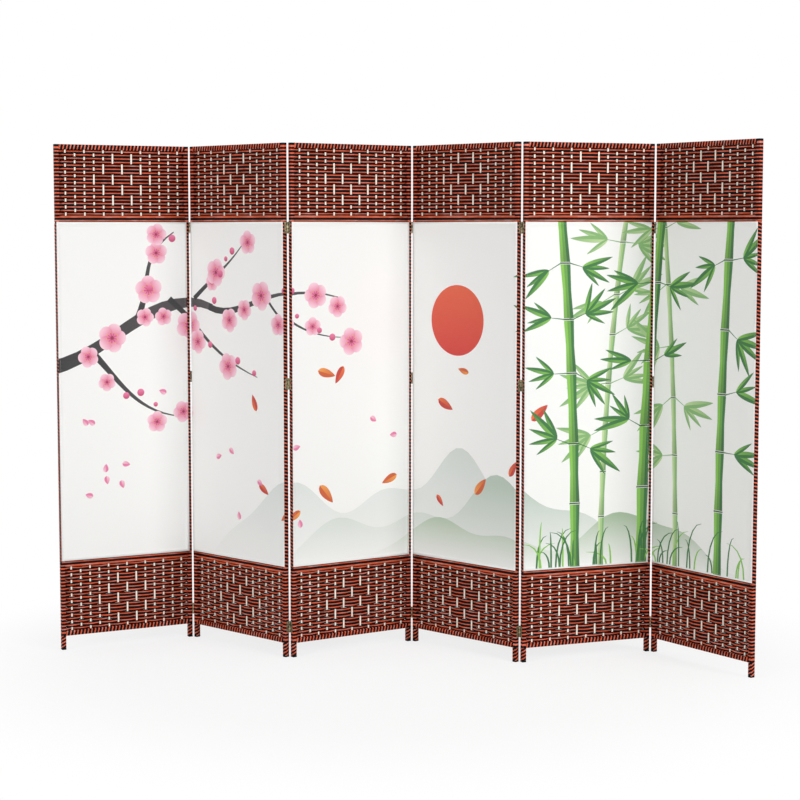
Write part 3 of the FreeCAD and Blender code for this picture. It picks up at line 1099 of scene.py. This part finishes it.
HINGE_GAP = 2.8 * MM
HINGE_OFFSET = 1.5 * MM
LEAF_SETBACK = 1.2 * MM
LEAF_REACH = HINGE_OFFSET + LEAF_SETBACK
HINGE_LENGTH = 40 * MM
HALF_HINGE = HINGE_LENGTH / 2
HINGE_HEIGHTS = (107 * MM, 966 * MM, 1508 * MM)
END_KNUCKLE = 12 * MM
KNUCKLE_GAP = 0.3 * MM
KNUCKLE_SIDES = 24
KNUCKLE_EASE = 0.25 * MM
PIN_HOLE = 1.35 * MM
PIN_HOLE_DEPTH = 0.8 * MM
LEAF_CORNER = 2.5 * MM
LEAF_EASE = 0.2 * MM
LEAF_LAP = 0.4 * MM
SHARP_ANGLE = 1.0


def block(form, low, high):
    """A box between two corners, added to a form."""
    made = bmesh.ops.create_cube(form, size=1)["verts"]
    low, high = Vector(low), Vector(high)
    bmesh.ops.scale(form, vec=high - low, verts=made)
    bmesh.ops.translate(form, vec=(high + low) / 2, verts=made)
    return made


def edges_of(verts):
    return list({edge for vert in verts for edge in vert.link_edges})


def faces_of(verts):
    return {face for vert in verts for face in vert.link_faces}


def ease(form, edges, width, segments):
    """Rounded edges."""
    kind = {"affect": "EDGES", "profile": 0.5, "material": -1, "clamp_overlap": True}
    bmesh.ops.bevel(form, geom=edges, offset=width, segments=segments, **kind)


def knuckle(form, low, high, radius):
    """A rolled knuckle with eased rims and the pin's hole in its ends."""
    size = {"segments": KNUCKLE_SIDES, "radius1": radius, "radius2": radius, "depth": high - low}
    made = bmesh.ops.create_cone(form, cap_ends=True, **size)["verts"]
    bmesh.ops.translate(form, vec=(0, 0, (low + high) / 2), verts=made)
    caps = [face for face in faces_of(made) if len(face.verts) > 4]
    hole = bmesh.ops.inset_region(form, faces=caps, thickness=radius - PIN_HOLE)
    rims = {edge for face in hole["faces"] for edge in face.edges}
    for face in bmesh.ops.extrude_discrete_faces(form, faces=caps)["faces"]:
        bmesh.ops.translate(form, vec=-face.normal * PIN_HOLE_DEPTH, verts=face.verts)
    outer = [edge for edge in rims if all(abs(v.co.xy.length - radius) < SAME_POINT for v in edge.verts)]
    ease(form, outer, KNUCKLE_EASE, 2)


def leaf_form(spans, plate_x):
    """A hinge leaf about its own axis: a plate with rounded far corners, rolled to knuckles."""
    hinges = bpy.context.scene.screen_hinges
    form = bmesh.new()
    face_x = plate_x + hinges.leaf_thickness
    far = LEAF_REACH + hinges.leaf_width
    plate = block(form, (plate_x, LEAF_REACH, -HALF_HINGE), (face_x, far, HALF_HINGE))
    corners = [
        edge
        for edge in edges_of(plate)
        if all(abs(vert.co.y - far) < SAME_POINT for vert in edge.verts)
        and abs(edge.verts[0].co.x - edge.verts[1].co.x) > SAME_POINT
    ]
    ease(form, corners, LEAF_CORNER, 4)
    rim = [edge for edge in form.edges if edge.calc_face_angle(0) > SHARP_ANGLE]
    ease(form, rim, LEAF_EASE, 1)
    for low, high in spans:
        block(form, (plate_x, 0, low), (face_x, LEAF_REACH + LEAF_LAP, high))
        knuckle(form, low, high, hinges.knuckle)
    return form


# A screw head's dome, rim and recess, with shares of its radius, and the heads' places on a leaf
SCREW_GRID = 5
SCREW_DOME = 0.1 * MM
SCREW_RIM = 0.3 * MM
SCREW_PROUD = 0.03 * MM
RECESS_DEPTH = 0.5 * MM
RECESS_REACH = 0.55
RECESS_WIDTH = 0.1
SCREW_LEVELS = (-0.3 * HINGE_LENGTH, 0.3 * HINGE_LENGTH)


def lowered(form, made, drop):
    """The points among newly extruded parts, after they are lowered."""
    points = [item for item in made if isinstance(item, bmesh.types.BMVert)]
    bmesh.ops.translate(form, vec=(0, 0, -drop), verts=points)
    return points


def screw_form(form, place, facing):
    """A countersunk head with a cross recess, facing along X."""
    radius = bpy.context.scene.screen_hinges.screw
    made = bmesh.ops.create_grid(form, x_segments=SCREW_GRID, y_segments=SCREW_GRID, size=radius)["verts"]
    for vert in made:
        reach = max(abs(vert.co.x), abs(vert.co.y))
        if reach:
            vert.co.xy *= reach / vert.co.xy.length
        vert.co.z = SCREW_DOME * (1 - (vert.co.xy.length / radius) ** 2)
    arms = []
    for face in faces_of(made):
        middle = face.calc_center_median()
        aside = min(abs(middle.x), abs(middle.y))
        if middle.xy.length < RECESS_REACH * radius and aside < RECESS_WIDTH * radius:
            arms.append(face)
    sunk = lowered(form, bmesh.ops.extrude_face_region(form, geom=arms)["geom"], RECESS_DEPTH)
    bmesh.ops.delete(form, geom=arms, context="FACES_ONLY")
    rim = [edge for edge in edges_of(made) if edge.is_boundary]
    skirt = lowered(form, bmesh.ops.extrude_edge_only(form, edges=rim)["geom"], SCREW_RIM)
    bmesh.ops.holes_fill(form, edges=[edge for edge in edges_of(skirt) if edge.is_boundary])
    whole = list({vert for vert in made + sunk + skirt if vert.is_valid})
    turn = Matrix.Rotation(math.radians(90 * facing), 3, "Y")
    bmesh.ops.rotate(form, cent=(0, 0, 0), matrix=turn, verts=whole)
    bmesh.ops.translate(form, vec=place, verts=whole)


def hinge_sides(panel):
    """Edges of a panel that have hinges: whether each is the right one, and whether it closes the fronts."""
    for right, fold in ((False, panel - 1), (True, panel)):
        if 1 <= fold < len(PANELS):
            yield right, fold % 2 == 1


def hinge_places(right, closes_fronts):
    """Matrices of the hinges along one edge, in the panel's own frame."""
    across = PANEL_WIDTH + HINGE_GAP / 2 if right else -HINGE_GAP / 2
    deep = -HINGE_OFFSET if closes_fronts else PANEL_DEPTH + HINGE_OFFSET
    turn = Matrix.Identity(4) if closes_fronts else Matrix.Rotation(math.pi, 4, "X")
    return [Matrix.Translation((across, deep, level)) @ turn for level in HINGE_HEIGHTS]


def hinge_meshes(panel):
    """All leaves of one panel, and all their screws."""
    hinges = bpy.context.scene.screen_hinges
    middle = LEAF_REACH + hinges.leaf_width / 2
    inner = HALF_HINGE - END_KNUCKLE
    leaves, screws = bmesh.new(), bmesh.new()
    for right, closes_fronts in hinge_sides(panel):
        if right:
            spans = ((-HALF_HINGE, -inner), (inner, HALF_HINGE))
            plate_x = -HINGE_GAP / 2
            face_x, facing = plate_x + hinges.leaf_thickness, 1
        else:
            spans = ((-inner + KNUCKLE_GAP, inner - KNUCKLE_GAP),)
            plate_x = HINGE_GAP / 2 - hinges.leaf_thickness
            face_x, facing = plate_x, -1
        leaf = to_mesh("leaf", leaf_form(spans, plate_x))
        heads = bmesh.new()
        for level in SCREW_LEVELS:
            screw_form(heads, (face_x + facing * SCREW_PROUD, middle, level), facing)
        head = to_mesh("heads", heads)
        for place in hinge_places(right, closes_fronts):
            for form, mesh in ((leaves, leaf), (screws, head)):
                copy = mesh.copy()
                copy.transform(place)
                form.from_mesh(copy)
                bpy.data.meshes.remove(copy)
    for form in (leaves, screws):
        bmesh.ops.recalc_face_normals(form, faces=form.faces)
    return to_mesh("hinge_leaves", leaves), to_mesh("hinge_screws", screws)


CRISP_ANGLE = math.radians(35)
WEAVE_SEED, WINDING_SEED, PRINT_SEED = 11, 23, 5
FRONT_INK, BACK_INK = 1.0, 0.4
# Grain as features to the metre along each axis
UPRIGHT_GRAIN = (260, 260, 9)
LENGTHWISE_GRAIN = (9, 9, 260)
SLAT_GRAIN = (420, 420, 14)


class SCREEN_OT_finish_wood(bpy.types.Operator):
    """Give the stiles, rails and slats their wood"""

    bl_idname = "screen.finish_wood"
    bl_label = "Finish the wood"

    def execute(self, context):
        wood = context.scene.screen_wood
        upright = wood_finish("stile_wood", tuple(wood.frame), UPRIGHT_GRAIN, 0.8)
        lengthwise = wood_finish("rail_wood", tuple(wood.frame), LENGTHWISE_GRAIN, 0.8)
        slat = wood_finish("slat_wood", tuple(wood.slat), SLAT_GRAIN, 0.94)
        kinds = {"left_stile": upright, "right_stile": upright, "rails": lengthwise, "weave_slats": slat}
        for panel in PANELS:
            for node, finish in kinds.items():
                repaint(f"panel_{panel}_{node}", finish)
        return {"FINISHED"}


class SCREEN_OT_weave_ends(bpy.types.Operator):
    """Weave the rope rows of the upper and lower sections round their slats"""

    bl_idname = "screen.weave_ends"
    bl_label = "Weave the ends"

    def execute(self, context):
        draw = random.Random(WEAVE_SEED)
        for name, levels, from_top in (("upper", UPPER_WEAVE, True), ("lower", LOWER_WEAVE, False)):
            mesh = woven_mesh(f"{name}_rows", levels, from_top, draw)
            lay_all(mesh, f"{name}_rows", rope_finishes(), (f"{name}_weave",))
        return {"FINISHED"}


class SCREEN_OT_wind_frame(bpy.types.Operator):
    """Wind rope round the stiles and rails and lay it along the borders"""

    bl_idname = "screen.wind_frame"
    bl_label = "Wind the frame"

    def execute(self, context):
        draw = random.Random(WINDING_SEED)
        middles = (STILE_WIDTH / 2, PANEL_WIDTH - STILE_WIDTH / 2)
        rails = {"bottom": (LEG_TOP, LOWER_WEAVE[0]), "top": (UPPER_WEAVE[1], PANEL_HEIGHT)}
        borders = {"lower": (LOWER_BORDER, True), "upper": (UPPER_BORDER, False)}
        for side, middle in zip(STILES, middles):
            self.bind(stile_mesh(side, middle, draw), f"{side}_winding")
        for name, levels in rails.items():
            self.bind(rail_mesh(name, *levels), f"{name}_rail_winding")
        for name, border in borders.items():
            self.bind(border_mesh(name, *border), f"{name}_border_ropes")
        return {"FINISHED"}

    @staticmethod
    def bind(mesh, name):
        lay_all(mesh, name, rope_finishes(), ("binding",))


class SCREEN_OT_stretch_cloth(bpy.types.Operator):
    """Stretch a printed cloth over the front of each panel"""

    bl_idname = "screen.stretch_cloth"
    bl_label = "Stretch the cloths"

    def execute(self, context):
        cloth = context.scene.screen_cloth
        ground = tuple(cloth.ground)
        art = Print(PRINT_SEED)
        hills(art, ground)
        drifting_leaves(art)
        grove(art)
        plum_branch(art)
        inks = {"cloth_front": FRONT_INK, "cloth_back": BACK_INK}
        finishes = [cloth_finish(name, ground, ink) for name, ink in inks.items()]
        sewing = thread_finish("hem_thread", tinted(ground, 0.92))
        for panel in PANELS:
            mesh = cloth_mesh(panel, art)
            piece = lay(mesh, "printed_cloth", panel, finishes, ("fabric",))
            body = piece.modifiers.new("thickness", "SOLIDIFY")
            body.thickness = cloth.thickness
            body.material_offset = 1
            body.material_offset_rim = 1
            sewn = lay(stitch_mesh(panel), "hem_stitches", panel, [sewing])
        return {"FINISHED"}


class SCREEN_OT_fit_hinges(bpy.types.Operator):
    """Fit brass leaves, screws and steel pins at the folds"""

    bl_idname = "screen.fit_hinges"
    bl_label = "Fit the hinges"

    def execute(self, context):
        hinges = context.scene.screen_hinges
        brass = metal_finish("hinge_brass", tuple(hinges.brass), 0.22, 0.28)
        steel = metal_finish("screw_steel", tuple(hinges.steel), 0.5, 0.3)
        for panel in PANELS:
            leaves, screws = hinge_meshes(panel)
            fitted = (
                lay(leaves, "brass_leaves", panel, [brass], ("hinge_leaves",)),
                lay(screws, "hinge_screws", panel, [steel]),
            )
            for piece in fitted:
                piece.data.set_sharp_from_angle(angle=CRISP_ANGLE)
        for fold in PANELS[:-1]:
            repaint(f"hinge_pins_{fold}_{fold + 1}", steel)
        return {"FINISHED"}


FLOOR_SIZE = 60
# Distance from the middle where the floor's shadow starts to fade, where it stops, and the white at each
FADE_START, FADE_END = 0.9, 1.8
NEAR_WHITE, FAR_WHITE = 0.75, 1.0
DIRECT_RAYS = ("Is Camera Ray", "Is Glossy Ray", "Is Transmission Ray")
LIT_POINT = Vector((0.0, 0.0, 0.9))
KEY_PLACE, KEY_SIZE = (4.9, -4.4, 3.3), 2.6
FILL_PLACE, FILL_SIZE = (-4.2, -4.6, 2.2), 3.0
CAMERA_PLACE = (0.0117, -6.7038, 1.5085)
CAMERA_PITCH = math.radians(90 - 5.117)
CAMERA_LENS = 86.684


class SCREEN_OT_light_stage(bpy.types.Operator):
    """Set the floor, the light and the camera"""

    bl_idname = "screen.light_stage"
    bl_label = "Light the stage"

    def execute(self, context):
        stage = context.scene.screen_stage
        context.scene.view_settings.view_transform = "Standard"
        self.lay_floor(stage)
        self.light_world(context, stage)
        self.lamp("key_lamp", KEY_PLACE, stage.key, KEY_SIZE)
        self.lamp("fill_lamp", FILL_PLACE, stage.fill, FILL_SIZE)
        self.set_camera(context)
        return {"FINISHED"}

    def lay_floor(self, stage):
        """A floor that shows the shadow near the object and turns white farther off."""
        form = bmesh.new()
        bmesh.ops.create_grid(form, x_segments=1, y_segments=1, size=FLOOR_SIZE)
        floor = link("floor", to_mesh("floor", form))
        finish = new_finish("floor_paint")
        seen = self.seen_directly(finish)
        spot = finish.coordinates("Object")
        reach = finish.add("ShaderNodeVectorMath", {"operation": "LENGTH"}, {0: spot}, 1)
        ramp = {0: reach, 1: FADE_START, 2: FADE_END, 3: NEAR_WHITE, 4: FAR_WHITE}
        away = finish.add("ShaderNodeMapRange", {"interpolation_type": "SMOOTHSTEP"}, ramp)
        tone = finish.mix(seen, tuple(stage.bounce), tuple(stage.floor))
        paint = finish.add("ShaderNodeBsdfDiffuse", inputs={"Color": tone})
        glow = finish.add("ShaderNodeEmission", inputs={"Color": (1, 1, 1), "Strength": 1.0})
        shown = finish.add("ShaderNodeMixShader", inputs={0: seen * away, 1: paint, 2: glow})
        finish.feed(finish.tree.nodes["Material Output"], {"Surface": shown})
        floor.data.materials.append(finish.block)

    def light_world(self, context, stage):
        """Soft light all round, in front of white."""
        world = bpy.data.worlds.new("studio")
        context.scene.world = world
        finish = Finish(world)
        seen = self.seen_directly(finish)
        dim, white = (
            finish.add("ShaderNodeBackground", inputs={"Color": (1, 1, 1), "Strength": strength})
            for strength in (stage.ambient, 1.0)
        )
        shown = finish.add("ShaderNodeMixShader", inputs={0: seen, 1: dim, 2: white})
        finish.feed(finish.tree.nodes["World Output"], {"Surface": shown})

    @staticmethod
    def seen_directly(finish):
        """1 for rays from the camera, a mirror or glass."""
        camera, glossy, glass = (finish.add("ShaderNodeLightPath", output=name) for name in DIRECT_RAYS)
        return camera.maximum(glossy).maximum(glass)

    @staticmethod
    def lamp(name, place, power, size):
        light = bpy.data.lights.new(name, "AREA")
        light.energy = power
        light.size = size
        lamp = link(name, light)
        lamp.location = place
        lamp.rotation_euler = (LIT_POINT - Vector(place)).to_track_quat("-Z", "Y").to_euler()

    @staticmethod
    def set_camera(context):
        lens = bpy.data.cameras.new("camera")
        lens.lens = CAMERA_LENS
        camera = link("camera", lens)
        camera.location = CAMERA_PLACE
        camera.rotation_euler = (CAMERA_PITCH, 0, 0)
        context.scene.camera = camera


OPERATORS = (
    SCREEN_OT_finish_wood,
    SCREEN_OT_weave_ends,
    SCREEN_OT_wind_frame,
    SCREEN_OT_stretch_cloth,
    SCREEN_OT_fit_hinges,
    SCREEN_OT_light_stage,
)


class SCREEN_PT_sidebar(bpy.types.Panel):
    """Steps that dress the folding screen"""

    bl_label = "Folding screen"
    bl_space_type = "VIEW_3D"
    bl_region_type = "UI"
    bl_category = "Screen"

    def draw(self, context):
        for operator in OPERATORS:
            self.layout.operator(operator.bl_idname)
        for name, group in SETTINGS.items():
            box = self.layout.box()
            for setting in group.__annotations__:
                box.prop(getattr(context.scene, name), setting)


CLASSES = (*SETTINGS.values(), *OPERATORS, SCREEN_PT_sidebar)


def register():
    for item in CLASSES:
        bpy.utils.register_class(item)
    for name, group in SETTINGS.items():
        setattr(bpy.types.Scene, name, PointerProperty(type=group))


def unregister():
    for name in SETTINGS:
        delattr(bpy.types.Scene, name)
    for item in reversed(CLASSES):
        bpy.utils.unregister_class(item)


def main():
    register()
    bpy.ops.screen.finish_wood()
    bpy.ops.screen.weave_ends()
    bpy.ops.screen.wind_frame()
    bpy.ops.screen.stretch_cloth()
    bpy.ops.screen.fit_hinges()
    bpy.ops.screen.light_stage()


if __name__ == "__main__":
    main()
